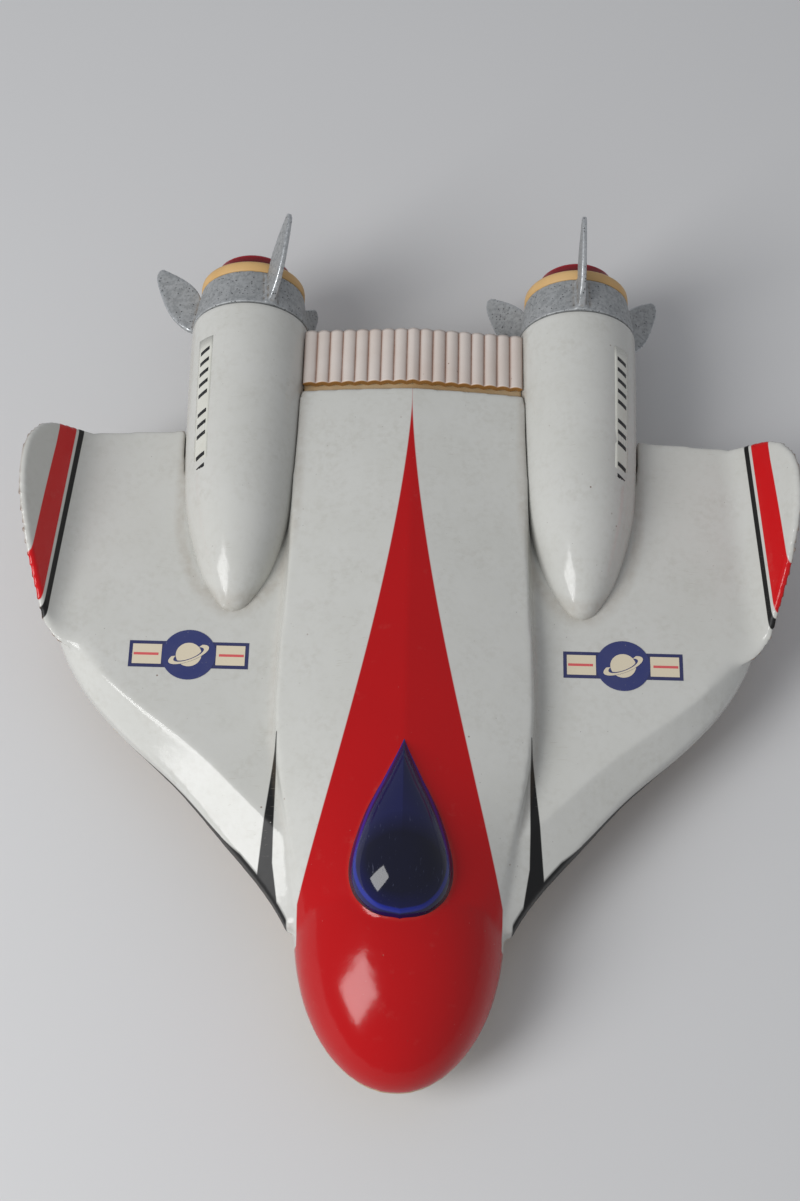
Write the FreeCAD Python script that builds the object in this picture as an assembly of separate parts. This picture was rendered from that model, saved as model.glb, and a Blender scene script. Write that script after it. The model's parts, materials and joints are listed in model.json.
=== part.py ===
import FreeCAD, Part
import math
import os

os.makedirs("parts", exist_ok=True)
V = FreeCAD.Vector

# ---- Driving dimensions (mm).  Nose towards -Y, +Z up, floor at z = 0 ----
WALL = 2.0              # wall of both hull shells
SEAM_Z = 22.0           # plane where the shells meet
BELLY_Z = 7.0           # underside of the lower hull
BELLY_TRIM = 0.05       # trimmed off the belly to leave its middle flat
WING_TOP_Z = 38.0       # flat top of the wings
WING_EDGE_Z = 30.0      # upper edge of the leading-edge side face
WING_UNDER_Z = 18.0     # underside of the wings
NOSE_Y = -148.2         # tip of the nose
NOSE_LEN = 52.0         # from the tip to the widest station of the nose
NOSE_HALF_W = 33.8
NOSE_RISE = 28.5        # top of the nose above the seam
HULL_END_Y = 92.4       # rear edge of the white back
TRAIL_IN_Y = 82.0       # trailing edge of the wing at the hull
TRAIL_OUT_Y = 77.5      # trailing edge of the wing at the tip

WINGLET_T = 2.2
WINGLET_CANT = 59.0     # degrees up from flat
WINGLET_BEND_R = 10.0
WINGLET_BEND_X = 110.5  # start of the bend, at y = 40
WINGLET_TOE = 4.0       # degrees, front end outwards

POD_X = 59.0
POD_Z = WING_TOP_Z
POD_R = 21.0
POD_TIP_Y = 9.0
POD_END_Y = 119.9
POD_WALL = 1.8
SEAT_CLEAR = 0.3        # round the pods where the hull is cut away for them

CELL_R = 16.6           # D-size dry cell
CELL_LEN = 60.0
CELL_FRONT_Y = 50.5

COLLAR_Y = 120.4        # front face of the finned collar
COLLAR_LEN = 14.5
COLLAR_END_R = 18.7
FIN_ROOT_T = 2.6
FIN_TIP_T = 1.5
FIN_TIP_R = 36.7
NECK_R = 18.94
NECK_BORE_R = 19.0
LEFT_TWIST = 23.0       # degrees the left collar stands from its locked place

CANOPY_Z = 46.0         # foot of the canopy dome
CANOPY_H = 15.5         # rise of the dome
CANOPY_T = 1.5
TRIM_CLEAR = 0.1

DECK_HALF_W = 39.0
DECK_RIBS = 17
DECK_FRONT_Y = 95.2
DECK_END_Y = 117.1
DECK_T = 2.0
RIB_H = 1.1
TAIL_MID_Z = 46.8       # top of the tail box at the middle
TAIL_SIDE_Z = 43.0      # and at its sides

REAR_WHEEL_R = 15.0
REAR_WHEEL_W = 7.0
REAR_WHEEL_X = 26.0
AXLE_Y = 55.0
AXLE_R = 1.5
FRONT_WHEEL_R = 12.0
FRONT_WHEEL_W = 7.0
FRONT_WHEEL_Y = -78.0
RUN_CLEAR = 0.06        # radial, for everything that turns
FIT_CLEAR = 0.02        # radial, for what is pushed on a shaft

MODULE = 0.6
AXLE_TEETH = 22
PINION_TEETH = 12
IDLER_TEETH = 24
GEAR_W = 3.0
GEAR_X = 1.0            # inner face of each gear layer
PLATE_X = 8.0           # inner face of each drive plate
PLATE_T = 1.0
SHAFT_R = 1.2
FLYWHEEL_R = 13.0
FLYWHEEL_W = 7.0
FLYWHEEL_X = 11.5


def save(name, shape):
    shape.exportStep("parts/" + name + ".step")
    print(name, shape.isValid(), len(shape.Solids), round(shape.Volume, 1))


def group(solids):
    return Part.makeCompound(solids)


def largest(shape):
    """Drop the slivers that a cut leaves loose."""
    return max(shape.Solids, key=lambda solid: solid.Volume)


def rod(r, p0, p1):
    axis = p1 - p0
    return Part.makeCylinder(r, axis.Length, p0, axis)


def tube(r_out, r_in, p0, p1):
    return rod(r_out, p0, p1).cut(rod(r_in, p0, p1))


def box(x0, x1, y0, y1, z0, z1):
    return Part.makeBox(x1 - x0, y1 - y0, z1 - z0, V(x0, y0, z0))


def wire(points):
    return Part.makePolygon(points + [points[0]])


def prism(points, direction):
    return Part.Face(wire(points)).extrude(direction)


def curve(points):
    spline = Part.BSplineCurve()
    spline.interpolate(points)
    return spline.toShape()


def arc(a, b, c):
    return Part.Arc(a, b, c).toShape()


def mirrored(shape):
    return shape.mirror(V(0, 0, 0), V(1, 0, 0))


# ---- Fuselage: egg-shaped nose and a ridged back lofted out of it -----------
# y, half width at the seam, half width and height of the crease, ridge height,
# swelling of the side, swelling of the roof
BACK = [
    (-106.0, 30.5, 22.5, 38.5, 46.5, 2.6, 2.6),
    (-80.0, 37.8, 33.5, 39.0, 52.2, 1.8, 2.8),
    (-60.0, 41.5, 38.0, 42.6, 53.4, 1.0, 1.5),
    (-38.0, 44.6, 41.4, 45.4, 53.8, 0.5, 0.8),
    (0.0, 45.6, 41.3, 46.0, 53.2, 0.3, 0.5),
    (45.0, 45.4, 40.2, 46.0, 51.8, 0.3, 0.4),
    (HULL_END_Y, 45.0, 39.2, 46.0, 50.0, 0.3, 0.4),
]


def middle(a, b, swell):
    """Point half-way between two corners, moved outwards by the swelling."""
    across = b - a
    out = V(across.z, 0, -across.x)
    return (a + b) * 0.5 + out.normalize() * swell


def flip(p):
    return V(-p.x, p.y, p.z)


def egg(inset, rise):
    """Nose form: ball stretched to the three half lengths."""
    stretch = FreeCAD.Matrix()
    stretch.A11 = NOSE_HALF_W - inset
    stretch.A22 = NOSE_LEN - inset
    stretch.A33 = rise - inset
    ball = Part.makeSphere(1.0).transformGeometry(stretch)
    ball.translate(V(0, NOSE_Y + NOSE_LEN, SEAM_Z))
    return ball


def roof_wire(y, w, cx, cz, rz, side, roof, foot_z):
    """Closed cross-section: flat foot, two side walls and two roof halves."""
    low = V(w, y, foot_z)
    crease = V(cx, y, cz)
    ridge = V(0, y, rz)
    side_mid = middle(low, crease, side)
    roof_mid = middle(crease, ridge, roof)
    edges = [Part.makeLine(flip(low), low)]
    edges.append(curve([low, side_mid, crease]))
    edges.append(curve([crease, roof_mid, ridge]))
    edges.append(curve([ridge, flip(roof_mid), flip(crease)]))
    edges.append(curve([flip(crease), flip(side_mid), flip(low)]))
    return Part.Wire(edges)


def fuselage(inset, foot_z):
    sections = []
    for y, w, cx, cz, rz, side, roof in BACK:
        sections.append(roof_wire(y, w - inset, cx - inset, cz - inset, rz - inset, side, roof, foot_z))
    back = Part.makeLoft(sections, True, False)
    nose = egg(inset, NOSE_RISE).common(box(-50, 50, NOSE_Y - 1, NOSE_Y + NOSE_LEN + 12, foot_z, 80))
    return back.fuse(nose)


def belly_wire(y, w, low_w, low_z, top_z):
    low = V(low_w, y, low_z)
    top = V(w, y, top_z)
    mid = V((w + low_w) / 2 + 0.2 * (w - low_w), y, (low_z + top_z) / 2 - 1.0)
    edges = [Part.makeLine(flip(top), top)]
    edges.append(curve([top, mid, low]))
    edges.append(Part.makeLine(low, flip(low)))
    edges.append(curve([flip(low), flip(mid), flip(top)]))
    return Part.Wire(edges)


def belly(inset, top_z):
    sections = []
    for y, w, *_ in BACK:
        first = y < NOSE_Y + NOSE_LEN
        low_z = BELLY_Z + inset - BELLY_TRIM + (2.5 if first else 0.0)
        sections.append(belly_wire(y, w - inset, 0.66 * (w - inset), low_z, top_z))
    back = Part.makeLoft(sections, True, False)
    room = box(-50, 50, NOSE_Y - 1, NOSE_Y + NOSE_LEN + 12, -10, top_z)
    nose = egg(inset, SEAM_Z - BELLY_Z).common(room)
    below = box(-60, 60, NOSE_Y - 1, HULL_END_Y + 1, BELLY_Z - 5, BELLY_Z + inset)
    return back.fuse(nose).cut(below)


# ---- Wings ------------------------------------------------------------------
# outer outline of the leading edge, and the width of the bevel behind it
LEADING = [
    (36.0, -98.0, 14.5),
    (45.0, -84.0, 14.5),
    (58.0, -69.0, 13.0),
    (74.0, -51.0, 11.0),
    (94.5, -32.0, 8.5),
    (106.5, -19.0, 6.5),
    (115.0, -6.0, 5.0),
    (119.5, 6.0, 4.5),
]


def wing_wire(z, inset, bevel):
    """Outline at height z, moved in by a distance and by a part of the bevel."""
    pts = []
    last = len(LEADING) - 1
    for i, (x, y, width) in enumerate(LEADING):
        ax, ay, _ = LEADING[max(i - 1, 0)]
        bx, by, _ = LEADING[min(i + 1, last)]
        run = math.hypot(bx - ax, by - ay)
        d = inset + bevel * width
        pts.append(V(x - d * (by - ay) / run, y + d * (bx - ax) / run, z))
    tip = V(115.5 - inset - 4.5 * bevel, TRAIL_OUT_Y - inset, z)
    root = V(20.0, TRAIL_IN_Y - inset + 1.0, z)
    front = V(20.0, pts[0].y, z)
    edges = [curve(pts)]
    edges.append(Part.makeLine(pts[-1], tip))
    edges.append(Part.makeLine(tip, root))
    edges.append(Part.makeLine(root, front))
    edges.append(Part.makeLine(front, pts[0]))
    return Part.Wire(edges)


def wing_slab(z0, z1, inset, bevel0, bevel1):
    return Part.makeLoft([wing_wire(z0, inset, bevel0), wing_wire(z1, inset, bevel1)], True, True)


def winglet():
    """Curled-up wing tip: bent strip cut to its rounded outline."""
    cant = math.radians(WINGLET_CANT)
    centre = V(WINGLET_BEND_X, 0, WING_TOP_Z + WINGLET_BEND_R)

    def bend(r, angle):
        return V(centre.x + r * math.sin(angle), 0, centre.z - r * math.cos(angle))
    rise = V(math.cos(cant), 0, math.sin(cant)) * 30.0
    inner_r = WINGLET_BEND_R
    outer_r = WINGLET_BEND_R + WINGLET_T
    a0 = bend(inner_r, 0)
    a1 = bend(inner_r, cant)
    b0 = bend(outer_r, 0)
    b1 = bend(outer_r, cant)
    lead = V(-8, 0, 0)
    edges = [Part.makeLine(a0 + lead, a0)]
    edges.append(arc(a0, bend(inner_r, cant / 2), a1))
    edges.append(Part.makeLine(a1, a1 + rise))
    edges.append(Part.makeLine(a1 + rise, b1 + rise))
    edges.append(Part.makeLine(b1 + rise, b1))
    edges.append(arc(b1, bend(outer_r, cant / 2), b0))
    edges.append(Part.makeLine(b0, b0 + lead))
    edges.append(Part.makeLine(b0 + lead, a0 + lead))
    face = Part.Face(Part.Wire(edges))
    strip = face.extrude(V(0, 130, 0))
    strip.translate(V(0, -65, 0))
    strip.rotate(V(WINGLET_BEND_X, 0, 0), V(0, 0, 1), WINGLET_TOE)
    strip.translate(V(0, 40, 0))
    outline = [(-6.0, 36.5), (6.0, 42.6), (20.0, 50.5), (36.0, 58.0), (50.0, 61.6),
               (62.0, 61.0), (70.5, 55.5), (74.5, 48.0), (77.0, 40.0)]
    top = curve([V(90, y, z) for y, z in outline])
    y0, z0 = outline[0]
    y1, z1 = outline[-1]
    low = Part.makePolygon([V(90, y1, z1), V(90, TRAIL_OUT_Y, 33.0), V(90, y0, 33.0), V(90, y0, z0)])
    shape = Part.Face(Part.Wire([top] + low.Edges)).extrude(V(60, 0, 0))
    return strip.common(shape)


def wings(inset, top, bottom_z):
    slab = wing_slab(bottom_z, WING_EDGE_Z - inset, inset, 0, 0)
    bevel = wing_slab(WING_EDGE_Z - inset, top, inset, 0, 1)
    both = slab.fuse(bevel)
    return both, mirrored(both)


# ---- Pods -------------------------------------------------------------------
# distance from the tip, radius
OGIVE = [(0.0, 0.0), (1.6, 3.6), (7.0, 7.9), (16.2, 12.5), (34.0, 17.6), (52.0, 19.6), (79.0, 20.6)]


def pod_solid(grow, end_y):
    """Body of revolution about the pod axis, grown or shrunk all round."""
    scale = (POD_R + grow) / POD_R
    pts = [V(r * scale, POD_TIP_Y - grow + s, 0) for s, r in OGIVE]
    pts.append(V(POD_R + grow, POD_END_Y, 0))
    rim = curve(pts)
    edges = [rim]
    edges.append(Part.makeLine(pts[-1], V(0, POD_END_Y, 0)))
    edges.append(Part.makeLine(V(0, POD_END_Y, 0), pts[0]))
    body = Part.Face(Part.Wire(edges)).revolve(V(0, 0, 0), V(0, 1, 0), 360)
    if end_y > POD_END_Y:
        body = body.fuse(rod(POD_R + grow, V(0, POD_END_Y, 0), V(0, end_y, 0)))
    return body


def at_pod(shape, side):
    moved = shape.copy()
    moved.translate(V(side * POD_X, 0, POD_Z))
    return moved


def ring_profile(points):
    """Solid of revolution about the pod axis from (radius, y) corners."""
    face = Part.Face(wire([V(r, y, 0) for r, y in points]))
    return face.revolve(V(0, 0, 0), V(0, 1, 0), 360)


POD_SCREW_Y = 33.0
POD_BOSS_R = 3.6
SCREW_R = 1.45
SCREW_HOLE_R = 1.5
HEAD_R = 2.8
HEAD_HOLE_R = 3.1

pod_seats = [at_pod(pod_solid(SEAT_CLEAR, POD_END_Y + 10), s) for s in (-1, 1)]


def make_pod(side):
    shell = pod_solid(0, POD_END_Y).cut(pod_solid(-POD_WALL, POD_END_Y))
    mouth = rod(NECK_BORE_R, V(0, 108.6, 0), V(0, POD_END_Y + 1, 0))
    land = tube(POD_R - 0.8, NECK_BORE_R - 0.3, V(0, 107.0, 0), V(0, POD_END_Y, 0))
    shell = shell.fuse(land).cut(mouth)
    skin = pod_solid(-0.6, POD_END_Y)
    rib = box(CELL_R + 0.2, POD_R, CELL_FRONT_Y, 107.0, -1.1, 1.1)
    for turn in (45, 135, 225, 315):
        one = rib.copy()
        one.rotate(V(0, 0, 0), V(0, 1, 0), turn)
        shell = shell.fuse(one.common(skin))
    spring_seat = tube(18.0, 7.5, V(0, 36.0, 0), V(0, 38.0, 0)).common(skin)
    boss = rod(POD_BOSS_R, V(0, POD_SCREW_Y, -18), V(0, POD_SCREW_Y, -5)).common(skin)
    screw_hole = rod(SCREW_HOLE_R, V(0, POD_SCREW_Y, -30), V(0, POD_SCREW_Y, -6.5))
    shell = shell.fuse(spring_seat).fuse(boss).cut(screw_hole)
    return at_pod(shell.removeSplitter(), side)


# ---- Hull screws, their bosses and the pod screws ---------------------------
WING_SCREWS = [(88.0, -14.0), (97.0, 52.0)]
NOSE_SCREW_Y = -120.0


def screw_places():
    places = [(0.0, NOSE_SCREW_Y, 14.0)]
    for x, y in WING_SCREWS:
        places.append((x, y, WING_UNDER_Z + 2.0))
        places.append((-x, y, WING_UNDER_Z + 2.0))
    return places


def pan_screw(x, y, seat_z, tip_z):
    """Screw driven upwards: head below the seat, shank above it."""
    head = rod(HEAD_R, V(x, y, seat_z - 1.8), V(x, y, seat_z))
    shank = rod(SCREW_R, V(x, y, seat_z), V(x, y, tip_z))
    slot = box(x - HEAD_R, x + HEAD_R, y - 0.35, y + 0.35, seat_z - 2.5, seat_z - 1.2)
    return head.fuse(shank).cut(slot)


# ---- Canopy -----------------------------------------------------------------
# half outline of the teardrop, from the pointed tail to the round front
TEAR = [(0.0, -36.0), (6.1, -50.5), (12.7, -66.0), (16.6, -82.0), (14.9, -92.2), (8.7, -99.2), (0.0, -101.5)]
TEAR_WIDE_Y = -82.0
DOME_STEPS = (0, 20, 38, 55, 70, 82)


def tear_solid(grow, foot_z):
    """Dome over the teardrop outline: the outline shrinks as it rises."""
    wide = TEAR[3][0]
    size = (wide + grow) / wide
    loop = [V(x, y, 0) for x, y in TEAR] + [V(-x, y, 0) for x, y in reversed(TEAR[:-1])]
    rings = []
    for angle in (None,) + DOME_STEPS:
        a = math.radians(angle or 0)
        z = foot_z if angle is None else CANOPY_Z + (CANOPY_H + grow) * math.sin(a)
        k = size * math.cos(a)
        pts = [V(p.x * k, TEAR_WIDE_Y + (p.y - TEAR_WIDE_Y) * k, z) for p in loop]
        rings.append(Part.Wire([curve(pts)]))
    foot = Part.Face(rings[0]).extrude(V(0, 0, CANOPY_Z - foot_z))
    return foot.fuse(Part.makeLoft(rings[1:], True, False))


# ---- Upper hull -------------------------------------------------------------
def make_upper_hull():
    outer = fuselage(0, SEAM_Z)
    inner = fuselage(WALL, SEAM_Z - 2)
    wing_r, wing_l = wings(0, WING_TOP_Z, SEAM_Z)
    in_r, in_l = wings(WALL, WING_TOP_Z - WALL, SEAM_Z - 2)
    outer = outer.fuse(wing_r).fuse(wing_l)
    tips = winglet()
    outer = outer.fuse(tips).fuse(mirrored(tips))
    shell = outer.cut(inner).cut(in_r).cut(in_l)
    for x, y, _ in screw_places():
        top = WING_TOP_Z - 1.0 if x else 46.0
        shell = shell.fuse(rod(3.5, V(x, y, SEAM_Z), V(x, y, top)))
        shell = shell.cut(rod(SCREW_HOLE_R, V(x, y, SEAM_Z - 1), V(x, y, SEAM_Z + 13.0)))
    for seat in pod_seats:
        shell = shell.cut(seat)
    shell = shell.cut(tear_solid(TRIM_CLEAR, CANOPY_Z - 8))
    return largest(shell)


# ---- Lower hull, with the tail box under the ribbed deck --------------------
def deck_wire(y, drop, half_w, foot_z):
    pts = [V(-half_w, y, foot_z), V(half_w, y, foot_z), V(half_w, y, TAIL_SIDE_Z - drop)]
    pts += [V(0, y, TAIL_MID_Z - drop), V(-half_w, y, TAIL_SIDE_Z - drop)]
    return pts


def make_lower_hull():
    outer = belly(0, SEAM_Z)
    under = wing_slab(SEAM_Z, WING_UNDER_Z, 0, 0, 0.35)
    outer = outer.fuse(under).fuse(mirrored(under))
    for s in (-1, 1):
        cradle = tube(POD_R + SEAT_CLEAR + WALL, POD_R, V(0, 40, 0), V(0, TRAIL_IN_Y, 0))
        cradle = at_pod(cradle, s).common(box(-120, 120, 0, 120, 0, SEAM_Z))
        outer = outer.fuse(cradle)
    tail = prism(deck_wire(HULL_END_Y + 0.3, 0, DECK_HALF_W, SEAM_Z - 4), V(0, 24.4, 0))
    tail_base = prism(deck_wire(80.0, 24.0, 41.0, BELLY_Z + 5), V(0, 36.8, 0))
    outer = outer.fuse(tail).fuse(tail_base)
    inner = belly(WALL, SEAM_Z + 2)
    hollow = wing_slab(SEAM_Z + 2, WING_UNDER_Z + WALL, WALL, 0, 0.3)
    shell = outer.cut(inner).cut(hollow).cut(mirrored(hollow))
    tail_in = prism(deck_wire(HULL_END_Y - 8.0, 2.0, DECK_HALF_W - WALL, BELLY_Z + 7), V(0, 31.0, 0))
    shell = shell.cut(tail_in)
    lip = box(-60, 60, 60, HULL_END_Y + 0.29, SEAM_Z, 60)
    shell = shell.cut(lip)
    for x, y, seat_z in screw_places():
        low = WING_UNDER_Z + 0.5 if x else BELLY_Z + 4.0
        shell = shell.fuse(rod(4.6, V(x, y, low), V(x, y, SEAM_Z)))
        shell = shell.cut(rod(HEAD_HOLE_R, V(x, y, 0), V(x, y, seat_z)))
        shell = shell.cut(rod(1.7, V(x, y, 0), V(x, y, SEAM_Z + 1)))
    for s in (-1, 1):
        x = s * POD_X
        shell = shell.fuse(rod(4.6, V(x, POD_SCREW_Y, WING_UNDER_Z + 0.5), V(x, POD_SCREW_Y, 26)))
        shell = shell.cut(rod(HEAD_HOLE_R, V(x, POD_SCREW_Y, 0), V(x, POD_SCREW_Y, WING_UNDER_Z + 2)))
        shell = shell.cut(rod(1.7, V(x, POD_SCREW_Y, 0), V(x, POD_SCREW_Y, 30)))
    for s in (-1, 1):
        x = s * REAR_WHEEL_X
        half = REAR_WHEEL_W / 2 + 1.0
        shell = shell.cut(box(x - half, x + half, AXLE_Y - 17, AXLE_Y + 17, 0, 12))
    shell = shell.cut(box(0.0, 5.0, AXLE_Y - 9, AXLE_Y + 9, 0, 12))
    for s in (-1, 1):
        ear = box(5.0, 7.5, FRONT_WHEEL_Y - 5, FRONT_WHEEL_Y + 5, BELLY_Z + 1, 17)
        shell = shell.fuse(ear if s > 0 else mirrored(ear))
    pin_hole = rod(AXLE_R + FIT_CLEAR, V(-20, FRONT_WHEEL_Y, FRONT_WHEEL_R),
                   V(20, FRONT_WHEEL_Y, FRONT_WHEEL_R))
    well = box(-4.5, 4.5, FRONT_WHEEL_Y - 14, FRONT_WHEEL_Y + 14, 0, 12)
    shell = shell.cut(pin_hole).cut(well)
    for x in (-DRIVE_FOOT_X, DRIVE_FOOT_X):
        for y in DRIVE_FOOT_Y:
            shell = shell.cut(rod(1.25, V(x, y, 0), V(x, y, 12)))
    for seat in pod_seats:
        shell = shell.cut(seat)
    return largest(shell)


def make_deck():
    """Corrugated plate lying on the tail box: arched ribs over a flat back."""
    pitch = 2 * DECK_HALF_W / DECK_RIBS
    slope = (TAIL_MID_Z - TAIL_SIDE_Z) / DECK_HALF_W

    def surface(x):
        return TAIL_MID_Z - slope * abs(x)
    y = DECK_FRONT_Y
    edges = []
    for i in range(DECK_RIBS):
        x0 = -DECK_HALF_W + i * pitch
        x1 = x0 + pitch
        xm = (x0 + x1) / 2
        a = V(x0, y, surface(x0) + DECK_T)
        b = V(xm, y, surface(xm) + DECK_T + RIB_H)
        c = V(x1, y, surface(x1) + DECK_T)
        edges.append(arc(a, b, c))
    right = V(DECK_HALF_W, y, surface(DECK_HALF_W))
    left = V(-DECK_HALF_W, y, surface(DECK_HALF_W))
    edges.append(Part.makeLine(V(DECK_HALF_W, y, right.z + DECK_T), right))
    edges.append(Part.makeLine(right, V(0, y, TAIL_MID_Z)))
    edges.append(Part.makeLine(V(0, y, TAIL_MID_Z), left))
    edges.append(Part.makeLine(left, V(-DECK_HALF_W, y, left.z + DECK_T)))
    face = Part.Face(Part.Wire(edges))
    plate = face.extrude(V(0, DECK_END_Y - DECK_FRONT_Y, 0))
    for seat in pod_seats:
        plate = plate.cut(seat)
    return plate


# ---- Collar, ring, lens, reflector and bulb, along the pod axis -------------
COLLAR_END_Y = COLLAR_Y + COLLAR_LEN
RING_R = 18.8
RING_T = 4.5
LENS_R = 13.2
LENS_RIM = 6.4         # wall of the lens behind its ring
LENS_OUT = 10.2
LENS_T = 1.5
LENS_FLANGE_R = 15.2
LENS_BORE_R = LENS_R + 0.3


# leading and trailing edges of a fin: (radius, distance behind the collar's front)
FIN_LEAD = [(19.0, 0.6), (22.0, 1.6), (27.4, 5.6), (31.0, 10.4), (33.8, 16.4), (35.8, 22.2),
            (FIN_TIP_R, 26.6), (36.0, 29.0), (34.2, 29.7)]
FIN_TRAIL = [(34.2, 29.7), (28.6, 26.3), (22.8, 21.6), (20.4, 18.4), (19.0, 13.8)]
FIN_PAD_W = 2.2         # half width of the thick foot cast under each fin


def fin():
    y = COLLAR_Y
    lead = [V(0, y + d, r) for r, d in FIN_LEAD]
    trail = [V(0, y + d, r) for r, d in FIN_TRAIL]
    foot = Part.makeLine(trail[-1], lead[0])
    face = Part.Face(Part.Wire([curve(lead), curve(trail), foot]))
    blade = face.extrude(V(FIN_ROOT_T, 0, 0))
    blade.translate(V(-FIN_ROOT_T / 2, 0, 0))
    root = FIN_ROOT_T / 2
    tip = FIN_TIP_T / 2
    low = POD_R - 4.0
    high = FIN_TIP_R + 1.0
    taper = [V(-root, y - 1, low), V(root, y - 1, low), V(tip, y - 1, high), V(-tip, y - 1, high)]
    blade = blade.common(prism(taper, V(0, 36, 0)))
    pad = box(-FIN_PAD_W, FIN_PAD_W, y + 0.4, y + COLLAR_LEN - 0.9, COLLAR_END_R - 1.2, POD_R + 0.6)
    cone = ring_profile([(0, y), (POD_R + 0.6, y), (COLLAR_END_R + 0.6, COLLAR_END_Y), (0, COLLAR_END_Y)])
    return blade.fuse(pad.common(cone))


def make_collar(side, twist):
    y = COLLAR_Y
    e = COLLAR_END_Y
    shell = ring_profile([(17.2, y - 10.5), (NECK_R, y - 10.5), (NECK_R, y), (POD_R, y),
                          (COLLAR_END_R, e), (16.3, e), (17.2, y + 4)])
    for turn in (0, 120, 240):
        one = fin()
        one.rotate(V(0, 0, 0), V(0, 1, 0), turn)
        shell = shell.fuse(one)
    bore = ring_profile([(0, y - 11), (17.2, y - 11), (17.2, y + 4), (16.3, e), (16.3, e + 1), (0, e + 1)])
    shell = shell.cut(bore).removeSplitter()
    shell.rotate(V(0, 0, 0), V(0, 1, 0), twist)
    return at_pod(shell, side)


def make_lens_ring(side):
    e = COLLAR_END_Y
    ring = ring_profile([(LENS_BORE_R, e + RING_T), (RING_R - 0.8, e + RING_T), (RING_R, e + RING_T - 1.2),
                         (RING_R, e), (16.2, e), (16.2, e - 3.0),
                         (LENS_FLANGE_R + 0.2, e - 3.0), (LENS_FLANGE_R + 0.2, e + 1.6),
                         (LENS_BORE_R, e + 1.6)])
    return at_pod(ring, side)


def lens_form(r, step, y_rim, y_top, back_y):
    """Domed plug: wall, small step at the rim and a shallow dome."""
    rise = V(r - step, y_rim + 0.6, 0)
    half = V(0.56 * r, y_top - 0.36 * (y_top - y_rim), 0)
    path = [V(0, back_y, 0), V(r, back_y, 0), V(r, y_rim, 0), rise]
    edges = [Part.makeLine(p, q) for p, q in zip(path, path[1:])]
    edges.append(curve([rise, half, V(0, y_top, 0)]))
    edges.append(Part.makeLine(V(0, y_top, 0), path[0]))
    return Part.Face(Part.Wire(edges)).revolve(V(0, 0, 0), V(0, 1, 0), 360)


def make_lens(side):
    y = COLLAR_END_Y + RING_T
    back = COLLAR_END_Y - TRIM_CLEAR
    outer = lens_form(LENS_R, 1.0, y + LENS_RIM, y + LENS_OUT, back)
    outer = outer.fuse(rod(LENS_FLANGE_R, V(0, back, 0), V(0, back + 1.4, 0)))
    inner = lens_form(LENS_R - LENS_T, 0.8, y + LENS_RIM - 0.8, y + LENS_OUT - LENS_T, back - 1.0)
    return at_pod(outer.cut(inner), side)


def make_reflector(side):
    f = COLLAR_END_Y - 3.3
    dish = ring_profile([(5.0, f - 17.0), (6.0, f - 17.0), (6.0, f - 12.0), (11.0, f - 9.0), (14.6, f - 3.0),
                         (15.2, f - 0.9), (16.1, f - 0.9), (16.1, f), (14.6, f), (13.8, f - 2.8),
                         (10.5, f - 8.2), (5.0, f - 11.2)])
    return at_pod(dish, side)


def make_bulb(side):
    f = COLLAR_END_Y - 3.3
    base = ring_profile([(0, f - 19.2), (2.0, f - 19.2), (4.0, f - 17.6), (4.9, f - 17.0), (4.9, f - 9.0),
                         (0, f - 9.0)])
    glass = Part.makeSphere(5.0, V(0, f - 3.2, 0)).fuse(rod(3.8, V(0, f - 9.0, 0), V(0, f - 3.2, 0)))
    return at_pod(base, side), at_pod(glass.removeSplitter(), side)


def make_cell(side):
    y = CELL_FRONT_Y
    e = y + CELL_LEN
    body = ring_profile([(0, y), (CELL_R - 0.8, y), (CELL_R, y + 0.8), (CELL_R, e - 0.8), (CELL_R - 0.8, e),
                         (4.7, e), (4.7, e + 1.5), (0, e + 1.5)])
    return at_pod(body, side)


def make_spring(side):
    """Conical coil from the seat in the pod nose to the foot of the cell."""
    y0 = 38.7
    y1 = CELL_FRONT_Y - 0.9
    helix = Part.makeLongHelix((y1 - y0) / 3.0, y1 - y0, 7.5, 12.0)
    start = helix.Edges[0].Vertexes[0].Point
    circle = Part.Wire(Part.makeCircle(0.6, start, V(0, 1, 0)))
    coil = Part.Wire(helix.Edges).makePipeShell([circle], True, True)
    coil.rotate(V(0, 0, 0), V(1, 0, 0), -90)
    coil.translate(V(0, y0, 0))
    return at_pod(coil, side)


def make_strip(side):
    """Flat contact from the spring seat to the collar neck."""
    run = box(-2.5, 2.5, CELL_FRONT_Y + 6.0, 107.5, 0.0, 0.4)
    run.translate(V(0, 0, CELL_R + 0.35))
    return at_pod(run, side)


# ---- Wheels and friction drive ----------------------------------------------
def gear_outline(teeth, turn):
    """Involute teeth with a little backlash; returns points in the (y, z) plane."""
    pitch_r = MODULE * teeth / 2
    base_r = pitch_r * math.cos(math.radians(20))
    tip_r = pitch_r + 0.85 * MODULE
    root_r = pitch_r - 1.15 * MODULE
    half = math.radians(90.0 / teeth) * 0.86

    def spread(r):
        if r <= base_r:
            return 0.0
        a = math.acos(base_r / r)
        return math.tan(a) - a
    radii = [root_r, max(base_r, root_r + 0.05), pitch_r - 0.3 * MODULE]
    radii += [pitch_r, pitch_r + 0.45 * MODULE, tip_r]
    pts = []
    for i in range(teeth):
        mid = turn + 2 * math.pi * i / teeth
        for sign, order in ((-1, radii), (1, list(reversed(radii)))):
            for r in order:
                a = mid + sign * (half + spread(pitch_r) - spread(r))
                pts.append((r * math.cos(a), r * math.sin(a)))
    return pts


def gear(teeth, turn, y, z, x0, bore):
    pts = [V(x0, y + a, z + b) for a, b in gear_outline(teeth, turn)]
    body = prism(pts, V(GEAR_W, 0, 0))
    return body.cut(rod(bore, V(x0 - 1, y, z), V(x0 + GEAR_W + 1, y, z)))


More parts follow.
